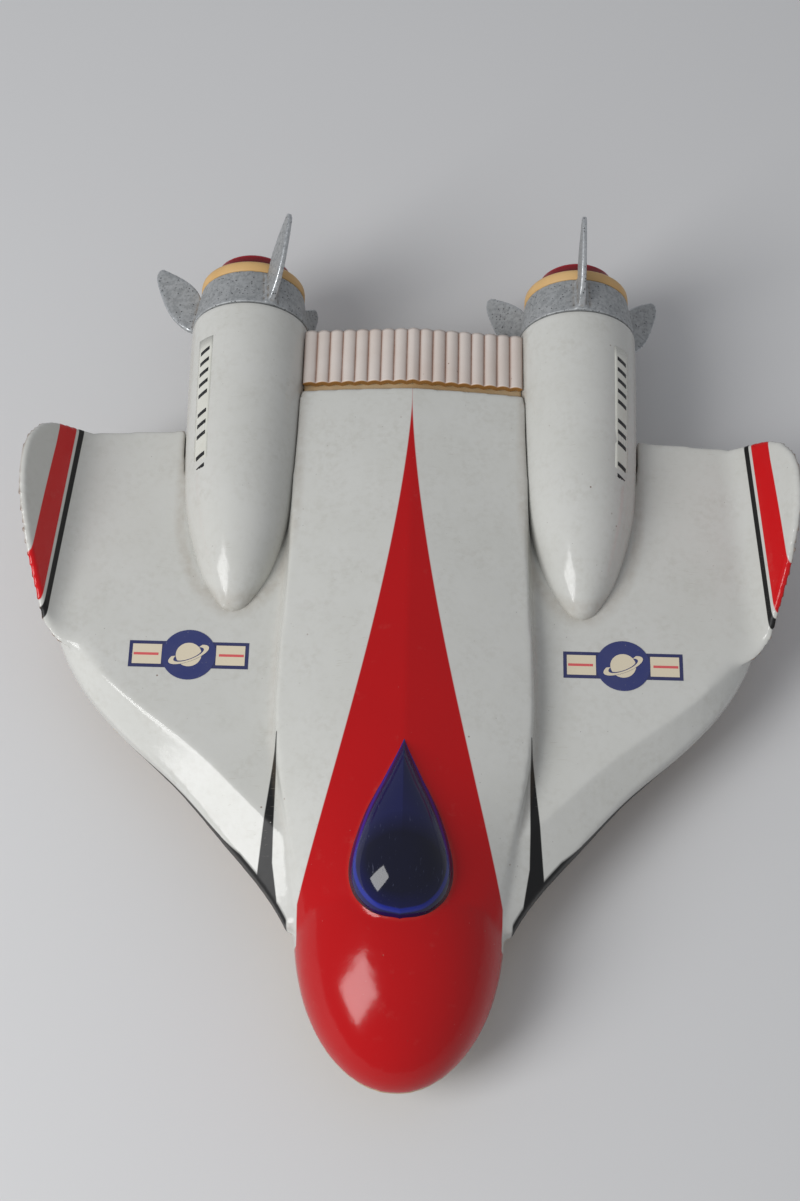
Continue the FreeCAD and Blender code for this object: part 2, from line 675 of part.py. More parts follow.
def mesh_turn(angle, teeth_a, turn_a, teeth_b):
    """Turn of gear b so that its gap faces the tooth of gear a along a line."""
    phase = (angle - turn_a) * teeth_a
    return angle + math.pi + (phase + math.pi) / teeth_b


AXLE_Z = REAR_WHEEL_R
STEP_1 = math.radians(120.0)
STEP_2 = math.radians(160.0)
REACH_1 = MODULE * (AXLE_TEETH + PINION_TEETH) / 2
REACH_2 = MODULE * (IDLER_TEETH + PINION_TEETH) / 2
IDLER_Y = AXLE_Y + REACH_1 * math.cos(STEP_1)
IDLER_Z = AXLE_Z + REACH_1 * math.sin(STEP_1)
FLY_Y = IDLER_Y + REACH_2 * math.cos(STEP_2)
FLY_Z = IDLER_Z + REACH_2 * math.sin(STEP_2)
DRIVE_FOOT_X = 13.0
DRIVE_FOOT_Y = (29.5, 67.0)
PILLARS = [(32.0, 13.5), (66.0, 24.0), (58.5, 32.5)]
FLOOR_Z = BELLY_Z + WALL + 0.05


def wheel_parts(x, y, r, w, rim_r, bore):
    """Moulded wheel with a rubber tyre: returns both, axle along X."""
    hub = rod(rim_r, V(x - w / 2 + 0.5, y, r), V(x + w / 2 - 0.5, y, r))
    dish = tube(rim_r - 1.6, 3.6, V(x + w / 2 - 1.9, y, r), V(x + w / 2, y, r))
    hub = hub.cut(dish)
    hub = hub.cut(tube(rim_r - 1.6, 3.6, V(x - w / 2, y, r), V(x - w / 2 + 1.9, y, r)))
    hub = hub.cut(rod(bore, V(x - w, y, r), V(x + w, y, r)))
    tyre = rod(r, V(x - w / 2, y, r), V(x + w / 2, y, r))
    tyre = tyre.makeFillet(1.2, [e for e in tyre.Edges if e.Closed and e.Length > 6 * r])
    tyre = tyre.cut(rod(rim_r, V(x - w, y, r), V(x + w, y, r)))
    return hub, tyre


def make_plate(x0):
    outline = [(27.0, FLOOR_Z), (70.0, FLOOR_Z), (70.0, 26.0), (62.0, 37.0), (33.0, 38.0), (27.0, 31.0)]
    plate = prism([V(x0, y, z) for y, z in outline], V(PLATE_T, 0, 0))
    for y in DRIVE_FOOT_Y:
        foot_x = x0 + PLATE_T if x0 > 0 else x0
        reach = 8.5 if x0 > 0 else -8.5
        near, far = sorted((foot_x, foot_x + reach))
        tab = box(near, far, y - 3, y + 3, FLOOR_Z, FLOOR_Z + PLATE_T)
        side_x = DRIVE_FOOT_X if x0 > 0 else -DRIVE_FOOT_X
        plate = plate.fuse(tab).cut(rod(1.3, V(side_x, y, 0), V(side_x, y, 20)))
    holes = [(AXLE_Y, AXLE_Z, AXLE_R + RUN_CLEAR), (IDLER_Y, IDLER_Z, SHAFT_R + FIT_CLEAR),
             (FLY_Y, FLY_Z, SHAFT_R + RUN_CLEAR)]
    for y, z, r in holes:
        plate = plate.cut(rod(r, V(x0 - 1, y, z), V(x0 + 3, y, z)))
    return plate


def shaft(y, z, r, x0, x1):
    return rod(r, V(x0, y, z), V(x1, y, z))


# ---- Write every piece ------------------------------------------------------
save("upper_hull", make_upper_hull())
save("lower_hull", make_lower_hull())
save("ribbed_deck", make_deck())
save("canopy", tear_solid(0, CANOPY_Z - 2).cut(tear_solid(-CANOPY_T, CANOPY_Z - 4)))

for word, side, twist in (("left", -1, LEFT_TWIST), ("right", 1, 0.0)):
    save(word + "_pod", make_pod(side))
    save(word + "_collar", make_collar(side, twist))
    save(word + "_lens_ring", make_lens_ring(side))
    save(word + "_lens", make_lens(side))
    save(word + "_reflector", make_reflector(side))
    bulb_base, bulb_glass = make_bulb(side)
    save(word + "_bulb_base", bulb_base)
    save(word + "_bulb", bulb_glass)
    save(word + "_cell", make_cell(side))
    save(word + "_spring", make_spring(side))
    save(word + "_strip", make_strip(side))

save("hull_screws", group([pan_screw(x, y, z, SEAM_Z + 12.0) for x, y, z in screw_places()]))
pod_screw = pan_screw(POD_X, POD_SCREW_Y, WING_UNDER_Z + 2.0, WING_UNDER_Z + 12.5)
save("pod_screws", group([pod_screw, mirrored(pod_screw)]))

save("drive_plates", group([make_plate(PLATE_X), make_plate(-PLATE_X - PLATE_T)]))
save("drive_pillars", group([shaft(y, z, 2.0, -PLATE_X, PLATE_X) for y, z in PILLARS]))
feet = []
for x in (-DRIVE_FOOT_X, DRIVE_FOOT_X):
    for y in DRIVE_FOOT_Y:
        top = FLOOR_Z + PLATE_T
        shank = rod(1.2, V(x, y, BELLY_Z + 0.3), V(x, y, top))
        feet.append(shank.fuse(rod(2.3, V(x, y, top), V(x, y, top + 1.4))))
save("drive_screws", group(feet))

axle_turn = 0.0
pinion_turn = mesh_turn(STEP_1, AXLE_TEETH, axle_turn, PINION_TEETH)
fly_turn = mesh_turn(STEP_2, IDLER_TEETH, pinion_turn, PINION_TEETH)
x_out = -GEAR_X - GEAR_W
save("axle_gear", gear(AXLE_TEETH, axle_turn, AXLE_Y, AXLE_Z, GEAR_X, AXLE_R + FIT_CLEAR))
small = gear(PINION_TEETH, pinion_turn, IDLER_Y, IDLER_Z, GEAR_X, SHAFT_R + RUN_CLEAR)
large = gear(IDLER_TEETH, pinion_turn, IDLER_Y, IDLER_Z, x_out, SHAFT_R + RUN_CLEAR)
sleeve = rod(2.6, V(-GEAR_X, IDLER_Y, IDLER_Z), V(GEAR_X, IDLER_Y, IDLER_Z))
sleeve = sleeve.cut(shaft(IDLER_Y, IDLER_Z, SHAFT_R + RUN_CLEAR, -5, 5))
save("idler_gears", small.fuse(sleeve).fuse(large))
save("flywheel_pinion", gear(PINION_TEETH, fly_turn, FLY_Y, FLY_Z, x_out, SHAFT_R + FIT_CLEAR))
save("idler_shaft", shaft(IDLER_Y, IDLER_Z, SHAFT_R, -PLATE_X - PLATE_T - 0.6, PLATE_X + PLATE_T + 0.6))
save("flywheel_shaft", shaft(FLY_Y, FLY_Z, SHAFT_R, -PLATE_X - PLATE_T - 0.8, FLYWHEEL_X + FLYWHEEL_W + 0.6))
wheel = shaft(FLY_Y, FLY_Z, FLYWHEEL_R, FLYWHEEL_X, FLYWHEEL_X + FLYWHEEL_W)
for face_x in (FLYWHEEL_X - 0.1, FLYWHEEL_X + FLYWHEEL_W - 1.9):
    wheel = wheel.cut(tube(10.0, 4.0, V(face_x, FLY_Y, FLY_Z), V(face_x + 2.0, FLY_Y, FLY_Z)))
save("flywheel", wheel.cut(shaft(FLY_Y, FLY_Z, SHAFT_R + FIT_CLEAR, 0, 40)))

save("rear_axle", shaft(AXLE_Y, AXLE_Z, AXLE_R, -REAR_WHEEL_X - 4.6, REAR_WHEEL_X + 4.6))
hubs = []
tyres = []
for x in (-REAR_WHEEL_X, REAR_WHEEL_X):
    hub, tyre = wheel_parts(x, AXLE_Y, REAR_WHEEL_R, REAR_WHEEL_W, 10.5, AXLE_R + FIT_CLEAR)
    hubs.append(hub)
    tyres.append(tyre)
save("rear_wheels", group(hubs))
save("rear_tyres", group(tyres))
hub, tyre = wheel_parts(0, FRONT_WHEEL_Y, FRONT_WHEEL_R, FRONT_WHEEL_W, 8.0, AXLE_R + RUN_CLEAR)
save("front_wheel", hub)
save("front_tyre", tyre)
save("front_axle", shaft(FRONT_WHEEL_Y, FRONT_WHEEL_R, AXLE_R, -8.0, 8.0))
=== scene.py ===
import json
import math

import bmesh
import bpy
import numpy as np
from mathutils import Matrix, Vector


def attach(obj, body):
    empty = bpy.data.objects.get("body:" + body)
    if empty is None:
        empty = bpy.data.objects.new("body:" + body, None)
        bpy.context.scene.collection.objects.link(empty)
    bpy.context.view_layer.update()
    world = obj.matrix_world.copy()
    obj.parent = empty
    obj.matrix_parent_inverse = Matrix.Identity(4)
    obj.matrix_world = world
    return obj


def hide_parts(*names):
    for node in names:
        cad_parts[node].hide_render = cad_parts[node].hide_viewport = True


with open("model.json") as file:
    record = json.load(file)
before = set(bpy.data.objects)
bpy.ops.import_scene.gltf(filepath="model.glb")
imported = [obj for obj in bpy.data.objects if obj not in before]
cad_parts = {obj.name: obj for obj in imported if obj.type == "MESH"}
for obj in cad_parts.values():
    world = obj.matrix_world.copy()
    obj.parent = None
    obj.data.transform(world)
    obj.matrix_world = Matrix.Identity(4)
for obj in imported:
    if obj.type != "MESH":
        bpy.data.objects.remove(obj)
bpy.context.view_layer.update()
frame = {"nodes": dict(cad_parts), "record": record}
MM = 0.001


# ---- Upper hull -------------------------------------------------------------
# White moulded shell: egg nose, ridged back, wings and curled-up winglets.  The
# moulding's corners are soft; the red, black and white are masked and sprayed on.

def softened(name, node, voxel, rounds, faces, body, fill=None, calm=None):
    """A CAD form with the rounded corners of a moulding or a casting."""
    mesh = frame["nodes"][node].data.copy()
    mesh.materials.clear()
    work = bmesh.new()
    work.from_mesh(mesh)
    bmesh.ops.remove_doubles(work, verts=work.verts, dist=1e-6)
    if fill:
        fill(work)
    work.to_mesh(mesh)
    work.free()
    rough = bpy.data.objects.new(name + "_rough", mesh)
    bpy.context.collection.objects.link(rough)
    remesh = rough.modifiers.new("skin", "REMESH")
    remesh.mode = "VOXEL"
    remesh.voxel_size = voxel
    smooth = rough.modifiers.new("round", "SMOOTH")
    smooth.factor = 0.5
    smooth.iterations = rounds
    rough = settled(rough, name + "_round")
    if calm:
        group = rough.vertex_groups.new(name="calm")
        for vertex in rough.data.vertices:
            weight = calm(vertex.co / MM)
            if weight > 0:
                group.add([vertex.index], weight, "REPLACE")
        local = rough.modifiers.new("calm", "SMOOTH")
        local.vertex_group = "calm"
        local.factor = 0.5
        local.iterations = 60
    count = len(rough.data.polygons) * 2
    if count > faces:
        thin = rough.modifiers.new("thin", "DECIMATE")
        thin.ratio = faces / count
    piece = settled(rough, name)
    mark_edges(piece)
    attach(piece, body)
    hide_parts(node)
    return piece


def settled(rough, name):
    """Turns an object's modifiers into a plain mesh and drops the rough one."""
    bpy.context.view_layer.update()
    view = bpy.context.evaluated_depsgraph_get()
    mesh = bpy.data.meshes.new_from_object(rough.evaluated_get(view))
    mesh.name = name
    piece = bpy.data.objects.new(name, mesh)
    bpy.context.collection.objects.link(piece)
    bpy.data.objects.remove(rough)
    for poly in mesh.polygons:
        poly.use_smooth = True
    return piece


def mark_edges(piece, passes=3):
    """Stores how sharply each point bulges out (+) or in (-), per millimetre."""
    mesh = piece.data
    count = len(mesh.vertices)
    points = np.empty(count * 3)
    mesh.vertices.foreach_get("co", points)
    points = points.reshape(-1, 3)
    normals = np.empty(count * 3)
    mesh.vertices.foreach_get("normal", normals)
    normals = normals.reshape(-1, 3)
    ends = np.empty(len(mesh.edges) * 2, dtype=np.int64)
    mesh.edges.foreach_get("vertices", ends)
    a, b = ends.reshape(-1, 2).T
    way = points[b] - points[a]
    length2 = np.maximum((way ** 2).sum(1), 1e-12)
    hits = np.bincount(a, minlength=count) + np.bincount(b, minlength=count)
    hits = np.maximum(hits, 1)
    out_a = -(way * normals[a]).sum(1) / length2
    out_b = (way * normals[b]).sum(1) / length2
    bulge = np.bincount(a, out_a, count) + np.bincount(b, out_b, count)
    bulge = np.clip(bulge / hits * MM, -2, 2)
    for _ in range(passes):
        near = np.bincount(a, bulge[b], count) + np.bincount(b, bulge[a], count)
        bulge = 0.5 * bulge + 0.5 * near / hits
    store = mesh.attributes.new("edge", "FLOAT", "POINT")
    store.data.foreach_set("value", bulge.astype(np.float32))


class Value:
    """A number in a material.  Arithmetic on it adds the Math nodes."""

    def __init__(self, finish, socket):
        self.finish = finish
        self.socket = socket

    def math(self, kind, *others):
        return self.finish.add("ShaderNodeMath", {"operation": kind}, self, *others)

    def __add__(self, other):
        return self.math("ADD", other)

    __radd__ = __add__

    def __sub__(self, other):
        return self.math("SUBTRACT", other)

    def __rsub__(self, other):
        return self.finish.add("ShaderNodeMath", {"operation": "SUBTRACT"}, other, self)

    def __mul__(self, other):
        return self.math("MULTIPLY", other)

    __rmul__ = __mul__

    def __truediv__(self, other):
        return self.math("DIVIDE", other)

    def __pow__(self, other):
        return self.math("POWER", other)

    def __neg__(self):
        return 0.0 - self

    def __abs__(self):
        return self.math("ABSOLUTE")

    def over(self, level, soft=0.2):
        """0 below the level and 1 above it, with a soft edge."""
        settings = {"clamp": True}
        low = level - soft / 2
        return self.finish.add("ShaderNodeMapRange", settings, self, low, low + soft, 0.0, 1.0)

    def at_least(self, other):
        return self.math("MAXIMUM", other)

    def at_most(self, other):
        return self.math("MINIMUM", other)


def ink(code):
    """Linear colour from six hexadecimal digits."""
    parts = [int(code[i:i + 2], 16) / 255 for i in (0, 2, 4)]
    return tuple(((p + 0.055) / 1.055) ** 2.4 if p > 0.04045 else p / 12.92 for p in parts) + (1.0,)


class Finish:
    """A material in the making; lengths inside it are millimetres."""

    def __init__(self, name, **constants):
        self.material = bpy.data.materials.new(name)
        self.material.use_nodes = True
        self.tree = self.material.node_tree
        self.shader = self.tree.nodes["Principled BSDF"]
        for key, value in constants.items():
            self.shader.inputs[key.replace("_", " ")].default_value = value
        place = self.tree.nodes.new("ShaderNodeTexCoord").outputs["Object"]
        scaled = self.tree.nodes.new("ShaderNodeVectorMath")
        scaled.operation = "SCALE"
        scaled.inputs["Scale"].default_value = 1 / MM
        self.tree.links.new(place, scaled.inputs[0])
        self.place = scaled.outputs[0]
        split = self.tree.nodes.new("ShaderNodeSeparateXYZ")
        self.tree.links.new(self.place, split.inputs[0])
        self.x, self.y, self.z = [Value(self, s) for s in split.outputs]

    def add(self, kind, settings, *inputs, out=0):
        node = self.tree.nodes.new(kind)
        for key, value in settings.items():
            setattr(node, key, value)
        for index, value in enumerate(inputs):
            if value is not None:
                self.feed(node.inputs[index], value)
        return Value(self, node.outputs[out])

    def feed(self, socket, value):
        if isinstance(value, Value):
            self.tree.links.new(value.socket, socket)
        elif hasattr(value, "is_output"):
            self.tree.links.new(value, socket)
        else:
            socket.default_value = value

    def noise(self, size, detail=3.0, rough=0.6, stretch=None):
        """Cloudy pattern with blots of about this size."""
        place = self.place
        if stretch:
            place = self.add("ShaderNodeVectorMath", {"operation": "MULTIPLY"}, place, stretch)
        return self.add("ShaderNodeTexNoise", {}, place, None, 1.0 / size, detail, rough)

    def specks(self, gap, radius):
        """Small round spots, one in each cell of about this width."""
        cells = self.add("ShaderNodeTexVoronoi", {}, self.place, None, 1.0 / gap)
        return 1 - cells.over(radius / gap, 0.6 * radius / gap)

    def edge(self):
        return self.add("ShaderNodeAttribute", {"attribute_name": "edge"}, out=2)

    def mix(self, mask, below, above):
        """Colour mix: the second one shows where the mask is 1."""
        node = self.tree.nodes.new("ShaderNodeMix")
        node.data_type = "RGBA"
        self.feed(node.inputs[0], mask)
        self.feed(node.inputs[6], below)
        self.feed(node.inputs[7], above)
        return node.outputs[2]

    def set(self, name, value):
        self.feed(self.shader.inputs[name], value)

    def bump(self, height, depth):
        """Relief of this many millimetres."""
        node = self.tree.nodes.new("ShaderNodeBump")
        node.inputs["Distance"].default_value = depth * MM
        self.feed(node.inputs["Height"], height)
        self.tree.links.new(node.outputs[0], self.shader.inputs["Normal"])


def dress(piece, finish):
    piece.data.materials.clear()
    piece.data.materials.append(finish.material)


POD_X = 59.0
POD_Z = 38.0
POD_R = 21.0
OGIVE = [(0, 9.0), (2.4, 9.6), (4.6, 11.3), (7.9, 16.0), (12.5, 25.2),
         (17.6, 43.0), (19.6, 61.0), (20.6, 88.0)]
WINGLET_BEND = Vector((119.1, 40.0, 42.85))
WINGLET_CANT = math.radians(59)
WINGLET_TOE = math.tan(math.radians(4))

WHITE = ink("CFCFCA")
RED = ink("B8070C")
BLACK = ink("141414")
RUST = ink("6B4426")
DIRT = ink("8A7458")


STRIPE_END_Y = 88.8
STRIPE_LEN = 186.8
STRIPE_HALF_W = 34.4
NOSE_BAND_Y = -104.0
BAND_LOW = 3.2
BAND_HIGH = 11.6
LINE_LOW = -0.3
LINE_HIGH = 1.9


def red_stripe(paint):
    """Mask of the stripe that widens from a point at the tail to the whole nose."""
    x, y, z = paint.x, paint.y, paint.z
    run = ((STRIPE_END_Y - y).at_least(0.0) / STRIPE_LEN) ** 1.5
    wide = (STRIPE_HALF_W * run).at_most(32.7) + (NOSE_BAND_Y - y).over(0.0, 1.0) * 5.0
    return (wide - abs(x)).over(0.0, 0.35) * z.over(21.0, 0.4)


def winglet_prints(paint):
    """Masks of the red band and the thin black line along the foot of each winglet."""
    x, y, z = paint.x, paint.y, paint.z
    ax = abs(x)
    rise = (z - WINGLET_BEND.z) * math.sin(WINGLET_CANT)
    reach = (ax + (y - WINGLET_BEND.y) * WINGLET_TOE - WINGLET_BEND.x) * math.cos(WINGLET_CANT)
    bow = (-x).over(0.0, 1.0) * (1.3 + (y - 10.0).at_least(0.0) * 0.017)
    belly = (1.0 - ((y - 20.0) / 45.0) ** 2).at_least(0.0) * 1.1
    up = rise + reach + bow - (-y - 4.0).at_least(0.0) * 0.12
    tip = ax.over(106.0, 1.0) * z.over(38.8, 0.3) * y.over(-21.0, 0.6)
    band = up.over(BAND_LOW, 0.25) * (1 - (up - belly).over(BAND_HIGH, 0.25)) * tip
    line = up.over(LINE_LOW, 0.2) * (1 - up.over(LINE_HIGH, 0.2)) * tip
    return band, line


def black_wedges(paint):
    """Mask of the black wedges beside the nose and the black lower leading edge."""
    x, y, z = paint.x, paint.y, paint.z
    ax = abs(x)
    outer = ((-y - 37.0) * 0.105 + 41.6).at_most(46.5)
    inner = 41.3 - (-y - 78.0).at_least(0.0) * 0.16
    across = (outer - ax).over(0.0, 0.3) * (ax - inner).over(0.0, 0.3)
    wedge = across * (-y).over(37.0, 0.3) * (47.0 - z).over(0.0, 0.5)
    level = 30.6 - ((ax - 52.0).at_least(0.0) / 46.0) * 8.6
    side = (level - z).over(0.0, 0.5) * ax.over(36.0, 0.5) * (-y).over(-1.0, 1.0)
    return wedge.at_least(side)


def pod_dirt_and_shade(paint):
    """Mask of the dirt and painted shade that darken the wing where it meets a pod."""
    round_pod = ((abs(paint.x) - POD_X) / POD_R) ** 2 + ((50.0 - paint.y).at_least(0.0) / 41.0) ** 2
    far = round_pod ** 0.5
    patchy = 0.25 + paint.noise(3.0).over(0.45, 0.4) * 0.75
    return (1 - far.over(1.045, 0.10)) * far.over(0.9, 0.05) * patchy


def hull_paint(name, stripes=False):
    """Aged white gloss, with the red and black prints if it has stripes."""
    paint = Finish(name, Specular_IOR_Level=0.35)
    cloud = paint.noise(28.0, 4.0)
    fine = paint.noise(2.2, 4.0)
    base = paint.mix(cloud.over(0.55, 0.35) * 0.35, WHITE, ink("C2C2BA"))
    film = fine.over(0.56, 0.25) * paint.noise(11.0).over(0.5, 0.3) * 0.28
    base = paint.mix(film, base, ink("B0ADA2"))
    printed = 0.0
    black = 0.0
    if stripes:
        red = red_stripe(paint)
        band, line = winglet_prints(paint)
        black = line.at_least(black_wedges(paint))
        printed = red.at_least(band)
        chip = paint.noise(1.3, 5.0).over(0.745, 0.05)
        scuff = paint.noise(7.0, 5.0).over(0.66, 0.1) * fine.over(0.5, 0.2)
        aged_red = paint.mix(cloud * 0.5, RED, ink("A8080E"))
        base = paint.mix(red * (1 - chip * 0.4), base, aged_red)
        base = paint.mix(band * (1 - chip * 0.4), base, ink("CC1016"))
        base = paint.mix(black * (1 - chip * 0.7), base, BLACK)
        base = paint.mix(printed * scuff * 0.10, base, ink("C46A62"))
    # Dirt and painted shade around the foot of each pod.
    base = paint.mix(pod_dirt_and_shade(paint) * 0.22, base, DIRT)
    edge = paint.edge()
    # Dirt and painted shade in the creases and hollows of the moulding.
    crease_dirt_and_shade = (-edge).over(0.16, 0.25) * (0.2 + fine) * 0.55
    base = paint.mix(crease_dirt_and_shade, base, DIRT)
    rub = edge.over(0.34, 0.2) * paint.noise(4.0, 5.0).over(0.47, 0.12)
    rim = edge.over(0.28, 0.15) * paint.z.over(52.0, 3.0) * abs(paint.x).over(112.0, 2.0)
    base = paint.mix(rub.at_least(rim * 0.8) * 0.75, base, RUST)
    spots = paint.specks(7.5, 0.30) * paint.noise(19.0).over(0.56, 0.08)
    base = paint.mix(spots * 0.75, base, RUST)
    pin = paint.specks(3.1, 0.14) * paint.noise(12.0).over(0.52, 0.1)
    base = paint.mix(pin * 0.6, base, ink("4A3A2C"))
    scratch = paint.noise(0.7, 2.0, stretch=(0.12, 1.6, 1.0)).over(0.68, 0.04) * cloud.over(0.55, 0.1)
    base = paint.mix(scratch * 0.3 * (1.0 - printed), base, ink("A9A497"))
    gloss = 0.08 + 0.09 * cloud + 0.04 * fine
    paint.set("Base Color", base)
    paint.set("Roughness", gloss + spots * 0.3 + crease_dirt_and_shade * 0.3 + black * 0.3)
    paint.bump(paint.noise(1.6, 2.0) * 0.25 + paint.noise(14.0, 2.0) - spots * 0.6, 0.10)
    return paint


TEAR = [(0.0, -36.0), (6.1, -50.5), (12.7, -66.0), (16.6, -82.0),
        (14.9, -92.2), (8.7, -99.2), (0.0, -101.5)]
TEAR_MID_Y = -82.0
CANOPY_Z = 46.0
CANOPY_H = 15.5


def flowing(points, steps):
    """Points along a smooth curve through the given corners."""
    spread = []
    ends = [points[0]] + list(points) + [points[-1]]
    for i in range(1, len(ends) - 2):
        p0, p1, p2, p3 = [np.array(p, float) for p in ends[i - 1:i + 3]]
        for k in range(steps):
            t = k / steps
            a = 2 * p1 + (p2 - p0) * t + (2 * p0 - 5 * p1 + 4 * p2 - p3) * t * t
            spread.append(tuple((a + (3 * p1 - p0 - 3 * p2 + p3) * t ** 3) / 2))
    spread.append(tuple(points[-1]))
    return spread


def tear_outline(steps=10):
    half = flowing(TEAR, steps)
    return half + [(-x, y) for x, y in reversed(half[1:-1])]


def tear_ring(work, scale, z):
    """One outline of the canopy, shrunk towards its widest part."""
    return [work.verts.new(Vector((x * scale, TEAR_MID_Y + (y - TEAR_MID_Y) * scale, z)) * MM)
            for x, y in tear_outline()]


def bridge(work, one, two):
    """Faces between two closed loops of the same length."""
    count = len(one)
    for i in range(count):
        j = (i + 1) % count
        work.faces.new((one[i], one[j], two[j], two[i]))


def fill_seats(work):
    """Closes the slits at the pods and the canopy, where the parts are a push fit."""
    steps = 40
    outer = [(0.0, 8.3), (2.6, 9.2), (4.9, 11.0)] + [(r + 0.35, y) for r, y in OGIVE[3:]]
    inner = [(max(r - 1.5, 0.0), y + 1.2) for r, y in reversed(OGIVE[3:])] + [(0.0, 13.0)]
    for side in (-1, 1):
        loops = []
        for k in range(steps + 1):
            a = math.pi + math.pi * k / steps
            loop = []
            for r, y in [p for p in outer if p[1] < 80] + [p for p in inner if p[1] < 80]:
                place = (side * POD_X + r * math.cos(a), y, POD_Z - 0.4 + r * math.sin(a))
                loop.append(work.verts.new(Vector(place) * MM))
            loops.append(loop)
        for one, two in zip(loops, loops[1:]):
            bridge(work, one, two)
        work.faces.new(loops[0])
        work.faces.new(list(reversed(loops[-1])))
    rings = [tear_ring(work, 0.985, CANOPY_Z - 3.0)]
    for angle in (0, 15, 30, 45, 60, 75):
        a = math.radians(angle)
        rings.append(tear_ring(work, 0.985 * math.cos(a), CANOPY_Z + (CANOPY_H - 0.9) * math.sin(a)))
    for one, two in zip(rings, rings[1:]):
        bridge(work, one, two)
    work.faces.new(rings[0])
    work.faces.new(list(reversed(rings[-1])))
    bmesh.ops.recalc_face_normals(work, faces=work.faces)


def calm_fronts(place):
    """Weight of the extra smoothing where the winglets run out at the front."""
    away = (Vector((abs(place.x), place.y, place.z)) - Vector((114.5, -9.0, 37.0))).length
    return max(0.0, min(1.0, (15.0 - away) / 6.0))


hull_finish = hull_paint("hull_paint", stripes=True)
shell = softened("white_shell", "upper_hull", 0.9 * MM, 6, 190000, "hull", fill_seats, calm_fronts)
dress(shell, hull_finish)


# ---- Pods -------------------------------------------------------------------
# Two white moulded tubes with pointed noses, sunk half-way into the wings.  Each
# is one turned form with a thin wall, held from below and open at its tail.

def turned(name, profile, side, steps=96, body="hull"):
    """Closed ring of (radius, y) corners spun about a pod's axis, in mm."""
    mesh = bpy.data.meshes.new(name)
    work = bmesh.new()
    loops = []
    for k in range(steps):
        a = 2 * math.pi * k / steps
        ring = []
        for r, y in profile:
            ring.append(work.verts.new(Vector((r * math.cos(a), y, r * math.sin(a))) * MM))
        loops.append(ring)
    for one, two in zip(loops, loops[1:] + loops[:1]):
        bridge(work, one, two)
    bmesh.ops.remove_doubles(work, verts=work.verts, dist=2e-6)
    bmesh.ops.dissolve_degenerate(work, edges=work.edges, dist=1e-7)
    bmesh.ops.recalc_face_normals(work, faces=work.faces)
    for face in work.faces:
        face.smooth = True
    work.to_mesh(mesh)
    work.free()
    mesh.transform(Matrix.Translation(Vector((side * POD_X, 0, POD_Z)) * MM))
    piece = bpy.data.objects.new(name, mesh)
    bpy.context.collection.objects.link(piece)
    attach(piece, body)
    return piece


POD_END_Y = 119.9
POD_WALL = 1.8


def pod_profile():
    outer = [(r, y) for r, y in flowing(OGIVE + [(20.95, 108.0), (21.0, POD_END_Y - 0.5)], 6)]
    lip = [(20.8, POD_END_Y - 0.1), (20.3, POD_END_Y)]
    inner = [(19.1, POD_END_Y), (19.05, 109.0), (19.1, 104.0)]
    inner += [(max(r - POD_WALL, 0.0), y + 1.2) for r, y in reversed(OGIVE[3:])]
    return outer + lip + inner + [(0, 13.0)]


pod_finish = hull_paint("pod_paint")
for word, side in (("left", -1), ("right", 1)):
    pod = turned(word + "_pod_tube", pod_profile(), side)
    mark_edges(pod)
    dress(pod, pod_finish)
    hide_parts(word + "_pod")


# ---- Lower hull -------------------------------------------------------------
# Cream moulded tub, yellowed with age, with the wing undersides, the cradles
# under the pods and the tail box that carries the ribbed deck.

def aged_plastic(name, colour, deep, roughness=0.45):
    skin = Finish(name, Coat_Weight=0.1, Coat_Roughness=0.3)
    cloud = skin.noise(22.0, 4.0)
    fine = skin.noise(1.8, 4.0)
    base = skin.mix(cloud.over(0.5, 0.4) * 0.6, ink(colour), ink(deep))
    edge = skin.edge()
    # Brown dirt and painted shade in the hollows of the moulding.
    base = skin.mix((-edge).over(0.14, 0.3) * (0.4 + fine * 0.6), base, ink("7A4E33"))
    base = skin.mix(edge.over(0.35, 0.3) * 0.4, base, ink(deep))
    spots = skin.specks(6.0, 0.25) * cloud.over(0.5, 0.1)
    base = skin.mix(spots * 0.7, base, RUST)
    skin.set("Base Color", base)
    skin.set("Roughness", roughness + 0.15 * fine)
    skin.bump(skin.noise(1.2, 3.0) * 0.3 + cloud, 0.08)
    return skin


cream_finish = aged_plastic("cream_plastic", "C9B28E", "B48A50")
tub = softened("cream_tub", "lower_hull", 1.1 * MM, 6, 150000, "hull")
dress(tub, cream_finish)


# ---- Ribbed deck ------------------------------------------------------------
# Corrugated cream plate lying on the tail box, bent a little at the middle.
# Brown dirt and painted shade darken the grooves between its seventeen ribs.

DECK_HALF_W = 38.9
DECK_FRONT_Y = 95.2
DECK_LEN = 21.9
DECK_TOP = 48.85
DECK_FALL = 3.8 / 39.0
RIBS = 17
RIB_H = 1.05
RIB_STEPS = 16
PLATE_T = 1.8


def number_input(tree, name, value):
    socket = tree.interface.new_socket(name, in_out="INPUT", socket_type="NodeSocketFloat")
    socket.default_value = value
    return socket


def set_inputs(modifier, tree, values):
    for item in tree.interface.items_tree:
        if item.item_type == "SOCKET" and item.in_out == "INPUT" and item.name in values:
            modifier[item.identifier] = values[item.name]


